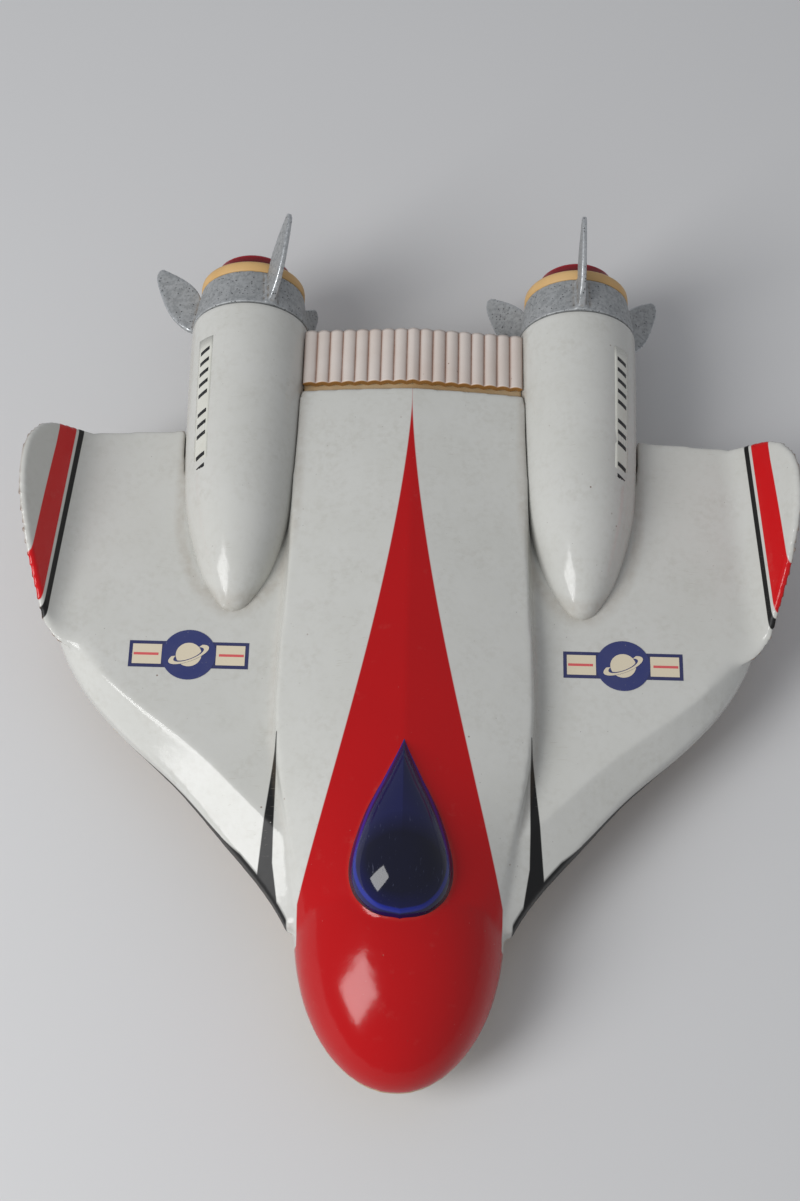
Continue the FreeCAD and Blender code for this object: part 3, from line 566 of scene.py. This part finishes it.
def rib_tree():
    """Grid lifted into round ribs, with a shallow ridge along the middle."""
    tree = bpy.data.node_groups.new("ribs", "GeometryNodeTree")
    tree.interface.new_socket("Geometry", in_out="OUTPUT", socket_type="NodeSocketGeometry")
    for name in ("Half Width", "Length", "Pitch", "Rib Height", "Fall"):
        number_input(tree, name, 1.0)
    tree.interface.new_socket("Finish", in_out="INPUT", socket_type="NodeSocketMaterial")
    nodes = tree.nodes
    inn = nodes.new("NodeGroupInput")
    end = nodes.new("NodeGroupOutput")

    def calc(kind, a, b=None):
        node = nodes.new("ShaderNodeMath")
        node.operation = kind
        for index, value in enumerate((a, b)):
            if hasattr(value, "is_output"):
                tree.links.new(value, node.inputs[index])
            elif value is not None:
                node.inputs[index].default_value = value
        return node.outputs[0]

    grid = nodes.new("GeometryNodeMeshGrid")
    grid.inputs["Vertices X"].default_value = RIBS * RIB_STEPS + 1
    grid.inputs["Vertices Y"].default_value = 25
    tree.links.new(calc("MULTIPLY", inn.outputs["Half Width"], 2.0), grid.inputs["Size X"])
    tree.links.new(inn.outputs["Length"], grid.inputs["Size Y"])
    where = nodes.new("GeometryNodeInputPosition")
    split = nodes.new("ShaderNodeSeparateXYZ")
    tree.links.new(where.outputs[0], split.inputs[0])
    along = calc("DIVIDE", calc("ADD", split.outputs[0], inn.outputs["Half Width"]), inn.outputs["Pitch"])
    wave = calc("ABSOLUTE", calc("SINE", calc("MULTIPLY", along, math.pi)))
    rib = calc("MULTIPLY", calc("POWER", wave, 0.8), inn.outputs["Rib Height"])
    fall = calc("MULTIPLY", calc("ABSOLUTE", split.outputs[0]), inn.outputs["Fall"])
    lift = nodes.new("ShaderNodeCombineXYZ")
    tree.links.new(calc("SUBTRACT", rib, fall), lift.inputs[2])
    move = nodes.new("GeometryNodeSetPosition")
    tree.links.new(grid.outputs[0], move.inputs["Geometry"])
    tree.links.new(lift.outputs[0], move.inputs["Offset"])
    real = nodes.new("GeometryNodeRealizeInstances")
    tree.links.new(move.outputs[0], real.inputs[0])
    paint = nodes.new("GeometryNodeSetMaterial")
    tree.links.new(real.outputs[0], paint.inputs[0])
    tree.links.new(inn.outputs["Finish"], paint.inputs["Material"])
    tree.links.new(paint.outputs[0], end.inputs[0])
    return tree


def deck_plastic():
    skin = aged_plastic("deck_plastic", "D8CFC8", "CBBBB0")
    phase = (skin.x + DECK_HALF_W) * (RIBS / (2 * DECK_HALF_W))
    away = abs(phase.math("FRACT") - 0.5) * 2.0
    groove_dirt_and_shade = away.over(0.80, 0.35)
    patch = 0.35 + 0.65 * skin.noise(6.0, 4.0, stretch=(1.0, 0.35, 1.0)).over(0.45, 0.3)
    was = skin.shader.inputs["Base Color"].links[0].from_socket
    # Painted shade and brown dirt in the grooves between the ribs.
    base = skin.mix(groove_dirt_and_shade * patch * 0.65, was, ink("94705E"))
    front = (DECK_FRONT_Y + 0.25 - skin.y).over(0.0, 0.3)
    base = skin.mix(front, base, ink("A8763C"))
    skin.set("Base Color", base)
    return skin


def make_deck():
    tree = rib_tree()
    rough = bpy.data.objects.new("deck_rough", bpy.data.meshes.new("deck_rough"))
    bpy.context.collection.objects.link(rough)
    ribs = rough.modifiers.new("ribs", "NODES")
    ribs.node_group = tree
    finish = deck_plastic()
    sizes = {"Half Width": DECK_HALF_W * MM, "Length": DECK_LEN * MM, "Pitch": 2 * DECK_HALF_W / RIBS * MM,
             "Rib Height": RIB_H * MM, "Fall": DECK_FALL, "Finish": finish.material}
    set_inputs(ribs, tree, sizes)
    thick = rough.modifiers.new("thick", "SOLIDIFY")
    thick.thickness = PLATE_T * MM
    thick.offset = -1
    piece = settled(rough, "ribbed_plate")
    piece.data.transform(Matrix.Translation(Vector((0, DECK_FRONT_Y + DECK_LEN / 2, DECK_TOP)) * MM))
    mark_edges(piece, 1)
    for poly in piece.data.polygons:
        poly.use_smooth = abs(poly.normal.y) < 0.9
    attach(piece, "hull")
    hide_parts("ribbed_deck")
    dress(piece, finish)


make_deck()


# ---- Canopy -----------------------------------------------------------------
# Clear blue teardrop dome pressed into the back, with a flat dark rim. Its colour holds painted light:
# a painted blue glow low on the wall, a painted highlight line where the wall turns down and a
# painted reflection of the floor on its rear slopes.

DOME_STEPS = 25
DOME_TURN = 88.0
INNER_SCALE = 0.915
SKIRT_DEPTH = 1.8


def dome_levels(scale, height):
    """(scale, z) of each outline up one side of the dome's wall."""
    levels = [(scale, CANOPY_Z - SKIRT_DEPTH)]
    for k in range(DOME_STEPS):
        a = math.radians(DOME_TURN * k / (DOME_STEPS - 1))
        levels.append((scale * math.cos(a), CANOPY_Z + height * math.sin(a)))
    return levels


def canopy_clear():
    clear = Finish("blue_clear", Coat_Weight=0.15, Coat_Roughness=0.02, Specular_IOR_Level=0.35)
    haze = clear.noise(9.0, 3.0)
    scratch = clear.noise(0.8, 3.0, stretch=(1.0, 0.15, 1.0)).over(0.68, 0.05)
    high = clear.z - CANOPY_Z
    # Painted reflection: the rear slopes are a lighter navy, as if they mirrored the pale floor.
    painted_floor_reflection = (clear.y + 74.0 - 0.12 * high + clear.x ** 2 * 0.03).over(0.0, 8.0)
    base = clear.mix(haze * 0.4, ink("090B20"), ink("0E1030"))
    base = clear.mix(painted_floor_reflection * high.over(2.5, 1.5) * 0.9, base, ink("191C4A"))
    # Painted light: the lower wall glows a brighter blue, most at the front and on the lit left side.
    lit = (0.55 - clear.x * 0.03).at_least(0.3).at_most(1.0)
    low_front = (-clear.y - 80.0).over(0.0, 22.0)
    painted_blue_glow = high.over(4.6, 1.0) * (1 - high.over(9.5, 5.0)) * (0.15 + low_front * 0.85) * lit
    base = clear.mix(painted_blue_glow * 0.22, base, ink("1018A0"))
    # Painted highlight: a bright blue line where the wall turns down, brighter on the lit left.
    painted_bead_highlight = high.over(6.7, 0.4) * (1 - high.over(8.2, 0.5)) * (0.45 + 0.55 * lit)
    base = clear.mix(painted_bead_highlight * 0.8, base, ink("1C2C9C"))
    flange = 1 - high.over(4.4, 0.6)
    base = clear.mix(flange * 0.9, base, ink("2C2E36"))
    clear.set("Base Color", clear.mix(scratch * 0.25, base, ink("565A78")))
    clear.set("Roughness", 0.05 + haze * 0.05 + scratch * 0.2 + flange * 0.3)
    clear.bump(haze, 0.02)
    return clear


def make_canopy():
    """Hollow dome: an outer and an inner wall, closed at the foot."""
    mesh = bpy.data.meshes.new("canopy_dome")
    work = bmesh.new()
    outer = [tear_ring(work, scale, z) for scale, z in dome_levels(1.0, CANOPY_H - 0.1)]
    inner = [tear_ring(work, scale, z) for scale, z in reversed(dome_levels(INNER_SCALE, CANOPY_H - 1.6))]
    for wall in (outer, inner):
        for one, two in zip(wall, wall[1:]):
            bridge(work, one, two)
    work.faces.new(outer[-1])
    work.faces.new(inner[0])
    bridge(work, inner[-1], outer[0])
    bmesh.ops.recalc_face_normals(work, faces=work.faces)
    for face in work.faces:
        face.smooth = True
    work.to_mesh(mesh)
    work.free()
    dome = bpy.data.objects.new("canopy_dome", mesh)
    bpy.context.collection.objects.link(dome)
    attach(dome, "hull")
    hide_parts("canopy")
    dress(dome, canopy_clear())


make_canopy()


# ---- Collars ----------------------------------------------------------------
# Zinc castings with three swept fins, once plated.  The plating is dull and
# pitted on the faces and rubbed bright along the edges of the fins.

def worn_plating():
    metal = Finish("worn_plating")
    cloud = metal.noise(9.0, 4.0)
    fine = metal.noise(0.9, 4.0)
    edge = metal.edge()
    out = ((abs(metal.x) - POD_X) ** 2 + (metal.z - POD_Z) ** 2) ** 0.5
    bright = edge.over(0.34, 0.3) * (0.12 + 0.88 * out.over(POD_R + 1.2, 0.6))
    base = metal.mix(cloud, ink("B9BBBC"), ink("9DA0A1"))
    pits = metal.specks(1.5, 0.24) * metal.noise(7.0, 3.0).over(0.36, 0.14)
    pits = pits.at_least(metal.specks(0.8, 0.13) * metal.noise(4.0, 3.0).over(0.5, 0.2))
    stain = (-edge).over(0.10, 0.25) * metal.noise(3.0).over(0.42, 0.3)
    base = metal.mix(metal.noise(1.5, 5.0).over(0.52, 0.12) * 0.45, base, ink("7E8284"))
    base = metal.mix(stain * 0.6, base, ink("6E5A40"))
    base = metal.mix(bright, base, ink("D9DCDE"))
    base = metal.mix(pits * 0.9, base, ink("24262A"))
    metal.set("Base Color", base)
    metal.set("Metallic", (0.35 + bright * 0.65) * (1 - pits * 0.8) * (1 - stain * 0.5))
    metal.set("Roughness", 0.50 + fine * 0.14 - bright * 0.38 + pits * 0.3)
    metal.bump(fine * 0.4 + cloud * 0.5 - pits * 1.6, 0.07)
    return metal


plating = worn_plating()
for word in ("left", "right"):
    collar = softened(word + "_fin_casting", word + "_collar", 0.42 * MM, 3, 130000, word + "_cap")
    dress(collar, plating)


# ---- Lens rings and lenses --------------------------------------------------
# A yellowed cream ring holds each red lens against the back of its collar.

COLLAR_END_Y = 134.9
RING_R = 18.8
RING_T = 4.5
LENS_R = 13.2


def ring_profile():
    e = COLLAR_END_Y
    return [(13.6, e + RING_T - 0.5), (14.0, e + RING_T), (17.6, e + RING_T), (18.3, e + RING_T - 0.25),
            (18.65, e + RING_T - 0.8), (RING_R, e + RING_T - 1.6), (RING_R, e + 0.3), (18.6, e + 0.1),
            (16.2, e + 0.1), (16.15, e - 2.9), (15.5, e - 2.9), (15.5, e + 1.7), (13.6, e + 1.7)]


def lens_profile():
    y = COLLAR_END_Y + RING_T
    outer = [(15.1, y - 4.5), (15.1, y - 3.1), (LENS_R, y - 3.1), (LENS_R, y + 5.6), (13.1, y + 6.1),
             (12.8, y + 6.4), (12.4, y + 6.5), (12.2, y + 6.9)]
    dome = []
    for k in range(1, 14):
        t = k / 13
        r = 12.2 * (1 - t)
        dome.append((r, y + 6.9 + 3.2 * (1 - (1 - t) ** 2.2)))
    back = [(0, y + 8.6)]
    for k in range(1, 22):
        r = 11.6 * k / 21
        ripple = 0.25 if k % 2 else -0.25
        back.append((r, y + 8.2 - 3.2 * (r / 11.6) ** 2.2 + ripple))
    return outer + dome + back + [(11.7, y - 4.5)]


def lens_red():
    red = Finish("red_clear", Transmission_Weight=0.25, IOR=1.46)
    cloud = red.noise(4.0, 3.0)
    rim = (red.y - 145.0).over(0.0, 0.3)
    flutes = (red.y * 1.9).math("SINE").over(0.2, 1.2)
    base = red.mix(cloud * 0.6, ink("96141F"), ink("6E0F18"))
    base = red.mix(flutes * 0.35, base, ink("4A0A10"))
    base = red.mix(rim, base, ink("B4182A"))
    red.set("Base Color", base)
    red.set("Roughness", 0.08 + 0.15 * cloud)
    return red


ring_finish = aged_plastic("ring_plastic", "DDB67C", "C49A5C")
lens_finish = lens_red()
for word, side in (("left", -1), ("right", 1)):
    ring = turned(word + "_cream_ring", ring_profile(), side, 128, word + "_cap")
    mark_edges(ring, 1)
    dress(ring, ring_finish)
    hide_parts(word + "_lens_ring")
    lens = turned(word + "_red_lens", lens_profile(), side, 128, word + "_cap")
    dress(lens, lens_finish)
    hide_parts(word + "_lens")


# ---- Badges -----------------------------------------------------------------
# Printed film on each wing: a ringed planet on a navy disc between two barred
# panels.  All are cut from one thin sheet and lie flat on the wing.

def flat_film(name, outlines, z, colour):
    """Thin film pieces on the wing from closed outlines, in millimetres."""
    mesh = bpy.data.meshes.new(name)
    work = bmesh.new()
    for outline in outlines:
        low = [work.verts.new(Vector((x, y, z - 0.12)) * MM) for x, y in outline]
        top = [work.verts.new(Vector((x, y, z)) * MM) for x, y in outline]
        work.faces.new(top)
        work.faces.new(list(reversed(low)))
        for i in range(len(outline)):
            j = (i + 1) % len(outline)
            work.faces.new((low[i], low[j], top[j], top[i]))
    bmesh.ops.recalc_face_normals(work, faces=work.faces)
    work.to_mesh(mesh)
    work.free()
    piece = bpy.data.objects.new(name, mesh)
    bpy.context.collection.objects.link(piece)
    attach(piece, "hull")
    film = Finish(name + "_print", Coat_Weight=0.3)
    chips = film.noise(1.0, 5.0).over(0.71, 0.05)
    shade = film.noise(8.0, 3.0)
    base = film.mix(shade * 0.1, ink(colour), ink("8F8878"))
    film.set("Base Color", film.mix(chips * 0.8, base, ink("CFCABB")))
    film.set("Roughness", 0.32 + shade * 0.2)
    film.bump(film.noise(0.8, 3.0), 0.03)
    dress(piece, film)


WING_Z = 38.0
BADGE_X = 72.6
BADGE_Y = -7.6
BAR_W = 40.0
BAR_H = 9.6
BAR_RIM = 1.2
DISC_R = 9.1
PLANET_R = 4.3
RING_TILT = math.radians(24)
RING_SQUASH = 0.34
NAVY = "24306E"
CREAM = "E2D6BC"


def turned_point(r, angle, squash, turn):
    u = r * math.cos(angle)
    v = r * squash * math.sin(angle)
    return (u * math.cos(turn) - v * math.sin(turn), u * math.sin(turn) + v * math.cos(turn))


def disc_points(r, steps=48):
    return [turned_point(r, 2 * math.pi * k / steps, 1.0, 0.0) for k in range(steps)]


def ring_part(r0, r1, start, end, steps=20):
    """Part of a flat elliptical hoop, for the planet's ring."""
    turns = [math.radians(start + (end - start) * k / steps) for k in range(steps + 1)]
    outer = [turned_point(r1, a, RING_SQUASH, RING_TILT) for a in turns]
    inner = [turned_point(r0, a, RING_SQUASH, RING_TILT) for a in turns]
    return outer + inner[::-1]


def slab(x0, x1, half):
    return [(x0, -half), (x1, -half), (x1, half), (x0, half)]


def make_badge(word, side):
    w = BAR_W / 2
    h = BAR_H / 2
    inset = w - BAR_RIM
    panels = [slab(-inset, -DISC_R, h - BAR_RIM), slab(DISC_R, inset, h - BAR_RIM)]
    lines = [slab(0.4 - w + BAR_RIM, -DISC_R - 1.0, 0.45), slab(DISC_R + 1.0, inset - 0.4, 0.45)]
    layers = (
        ("bar", [slab(-w, w, h)], 0.10, "20285E"),
        ("panels", panels, 0.14, CREAM),
        ("lines", lines, 0.18, "DC5A5C"),
        ("disc", [disc_points(DISC_R)], 0.20, NAVY),
        ("planet", [disc_points(PLANET_R)], 0.24, CREAM),
        ("shade", [ring_part(4.6, 7.4, 180, 360)], 0.27, NAVY),
        ("hoop", [ring_part(5.4, 7.2, 140, 400, 40)], 0.30, CREAM),
    )
    for layer, outlines, lift, colour in layers:
        placed = [[(side * BADGE_X + x, BADGE_Y + y) for x, y in outline] for outline in outlines]
        flat_film(word + "_badge_" + layer, placed, WING_Z + lift, colour)


for word, side in (("left", -1), ("right", 1)):
    make_badge(word, side)


# ---- Tally labels -----------------------------------------------------------
# Clear film on the outer side of each pod, printed with a row of slanted black
# tally bars.  Film and print follow the round of the pod.

LABEL_ANGLE = 47.0
LABEL_SPAN = 19.0
LABEL_Y = (47.5, 108.0)
FILM_T = 0.09


def pod_radius(y):
    points = OGIVE + [(20.95, 108.0), (21.0, POD_END_Y)]
    return float(np.interp(y, [p[1] for p in points], [p[0] for p in points]))


def wrapped(name, side, patches, lift, finish):
    """Thin patches on a pod: each is four (across, along) corners, 0 to 1."""
    mesh = bpy.data.meshes.new(name)
    work = bmesh.new()
    for corners in patches:
        a, b, c, d = [Vector(p) for p in corners]
        rows, cols = 12, 6
        layers = []
        for depth in (0.0, FILM_T):
            grid = []
            for i in range(rows + 1):
                line = []
                for j in range(cols + 1):
                    u = a.lerp(d, i / rows)
                    v = b.lerp(c, i / rows)
                    p = u.lerp(v, j / cols)
                    angle = math.radians(LABEL_ANGLE - LABEL_SPAN / 2 + LABEL_SPAN * p.x)
                    y = LABEL_Y[0] + (LABEL_Y[1] - LABEL_Y[0]) * p.y
                    r = pod_radius(y) + lift - depth
                    line.append(work.verts.new(Vector((side * (POD_X + r * math.cos(angle)), y,
                                                       POD_Z + r * math.sin(angle))) * MM))
                grid.append(line)
            layers.append(grid)
        for grid in layers:
            for i in range(rows):
                for j in range(cols):
                    work.faces.new((grid[i][j], grid[i][j + 1], grid[i + 1][j + 1], grid[i + 1][j]))
        top, low = layers
        rim = [(0, j) for j in range(cols)] + [(i, cols) for i in range(rows)]
        rim += [(rows, j) for j in range(cols, 0, -1)] + [(i, 0) for i in range(rows, 0, -1)]
        for (i, j), (k, m) in zip(rim, rim[1:] + rim[:1]):
            work.faces.new((top[i][j], top[k][m], low[k][m], low[i][j]))
    bmesh.ops.recalc_face_normals(work, faces=work.faces)
    for face in work.faces:
        face.smooth = True
    work.to_mesh(mesh)
    work.free()
    piece = bpy.data.objects.new(name, mesh)
    bpy.context.collection.objects.link(piece)
    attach(piece, "hull")
    dress(piece, finish)


def film_finish():
    film = Finish("label_film", Coat_Weight=0.4)
    cloud = film.noise(5.0, 3.0)
    film.set("Base Color", film.mix(cloud, ink("E2E2DA"), ink("CFCEC2")))
    film.set("Roughness", 0.18 + cloud * 0.2)
    film.bump(film.noise(2.0), 0.03)
    return film


def bar_finish():
    stamp = Finish("tally_print")
    wear = stamp.noise(0.8, 4.0).over(0.66, 0.08)
    stamp.set("Base Color", stamp.mix(wear * 0.5, ink("17171A"), ink("8C8C86")))
    stamp.set("Roughness", 0.4 + wear * 0.2)
    return stamp


TALLY_GROUPS = ((0.05, 3), (0.33, 3), (0.60, 5))
TALLY_STEP = 0.072

film = film_finish()
tally = bar_finish()
bars = []
for start, count in TALLY_GROUPS:
    for k in range(count):
        low = start + k * TALLY_STEP
        bars.append(((0.20, low), (0.82, low + 0.022), (0.82, low + 0.046), (0.20, low + 0.024)))
for word, side in (("left", -1), ("right", 1)):
    wrapped(word + "_label_film", side, [((0, 0), (1, 0), (1, 1), (0, 1))], 0.11, film)
    wrapped(word + "_label_bars", side, bars, 0.20, tally)


# ---- Works and running gear -------------------------------------------------
# Pieces that stay as they were designed get the finish of what they are made of:
# zinc-plated steel, brass, greased nylon, cast iron, rubber and moulded plastic.

def plain_metal(name, colour, deep, roughness):
    metal = Finish(name, Metallic=1.0)
    brush = metal.noise(1.2, 3.0, stretch=(0.15, 1.0, 1.0))
    cloud = metal.noise(6.0, 3.0)
    base = metal.mix(cloud, ink(colour), ink(deep))
    base = metal.mix(metal.specks(2.5, 0.15) * cloud.over(0.5, 0.1) * 0.8, base, RUST)
    metal.set("Base Color", base)
    metal.set("Roughness", roughness + 0.2 * brush)
    metal.bump(brush, 0.02)
    return metal


def moulded(name, colour, deep, roughness, dusty):
    skin = Finish(name)
    cloud = skin.noise(7.0, 4.0)
    dust = skin.noise(3.0, 4.0).over(0.52, 0.3) * dusty
    base = skin.mix(cloud * 0.6, ink(colour), ink(deep))
    skin.set("Base Color", skin.mix(dust, base, ink("A89C8A")))
    skin.set("Roughness", roughness + dust * 0.3)
    skin.bump(skin.noise(0.7, 3.0), 0.04)
    return skin


steel = plain_metal("zinc_steel", "B4B6B4", "95989A", 0.3)
brass = plain_metal("brass", "BE9A55", "96743A", 0.32)
dish = plain_metal("bright_dish", "E4E5E6", "CFD0D2", 0.12)
iron = plain_metal("flywheel_iron", "5C5D60", "48494C", 0.45)
nylon = moulded("nylon", "D8D2BE", "C4BB9E", 0.4, 0.2)
jacket = moulded("cell_jacket", "39414F", "2C323D", 0.35, 0.1)
wheel_red = moulded("wheel_plastic", "B8242A", "9A1C22", 0.3, 0.3)
rubber = moulded("tyre_rubber", "1C1C1C", "262524", 0.6, 0.5)
glass = Finish("bulb_glass", Transmission_Weight=1.0, IOR=1.45)
glass.set("Base Color", glass.mix(glass.noise(4.0), ink("F4F4F0"), ink("E4E6E2")))
glass.set("Roughness", 0.04 + 0.04 * glass.noise(2.0))
carried = {"steel": steel, "brass": brass, "bright_metal": dish, "cast_iron": iron, "gear_plastic": nylon,
           "cell_jacket": jacket, "wheel_plastic": wheel_red, "tyre": rubber, "bulb_glass": glass}
for entry in frame["record"]["subparts"]:
    finish = carried.get(entry["material_slot"])
    if finish:
        node = frame["nodes"][entry["node"]]
        node.data.materials.clear()
        node.data.materials.append(finish.material)


# ---- Table, light and camera ------------------------------------------------
# Pale table top, one broad soft lamp over the left shoulder and an even sky.

TABLE_HALF = 3.0
SKY = (0.93, 0.95, 1.0, 1.0)
SKY_STRENGTH = 0.38
EYE = Vector((-2.5, -282.6, 647.4)) * MM
RIGHT = Vector((0.99966, 0.02353, 0.01148))
LOOK = Vector((0.0, 0.43837, -0.89879))


def pale_table():
    mesh = bpy.data.meshes.new("table")
    far = TABLE_HALF
    mesh.from_pydata([(-far, -far, 0), (far, -far, 0), (far, far, 0), (-far, far, 0)], [], [(0, 1, 2, 3)])
    table = bpy.data.objects.new("table", mesh)
    bpy.context.collection.objects.link(table)
    top = Finish("table_top", Roughness=0.6)
    top.set("Base Color", top.mix(top.noise(260.0) * 0.3, ink("D8D8D8"), ink("D0D0D0")))
    mesh.materials.append(top.material)


def even_sky():
    world = bpy.data.worlds.new("sky")
    bpy.context.scene.world = world
    world.use_nodes = True
    light = world.node_tree.nodes["Background"]
    light.inputs["Color"].default_value = SKY
    light.inputs["Strength"].default_value = SKY_STRENGTH


def soft_lamp(name, place, aim, size, power):
    lamp = bpy.data.lights.new(name, "AREA")
    lamp.shape = "RECTANGLE"
    lamp.size, lamp.size_y = size
    lamp.energy = power
    holder = bpy.data.objects.new(name, lamp)
    holder.location = place
    holder.rotation_euler = (Vector(aim) - Vector(place)).to_track_quat("-Z", "Y").to_euler()
    bpy.context.collection.objects.link(holder)


def place_camera():
    lens = bpy.data.cameras.new("camera")
    lens.sensor_fit = "VERTICAL"
    lens.sensor_height = 36.0
    lens.lens = 59.95
    camera = bpy.data.objects.new("camera", lens)
    turn = Matrix((RIGHT, RIGHT.cross(LOOK), -LOOK)).transposed().to_4x4()
    camera.matrix_world = Matrix.Translation(EYE) @ turn
    bpy.context.collection.objects.link(camera)
    bpy.context.scene.camera = camera


pale_table()
even_sky()
soft_lamp("window", (-0.80, -0.50, 0.86), (0, 0, 0.03), (0.55, 0.8), 11.0)
place_camera()
bpy.context.scene.view_settings.view_transform = "Standard"
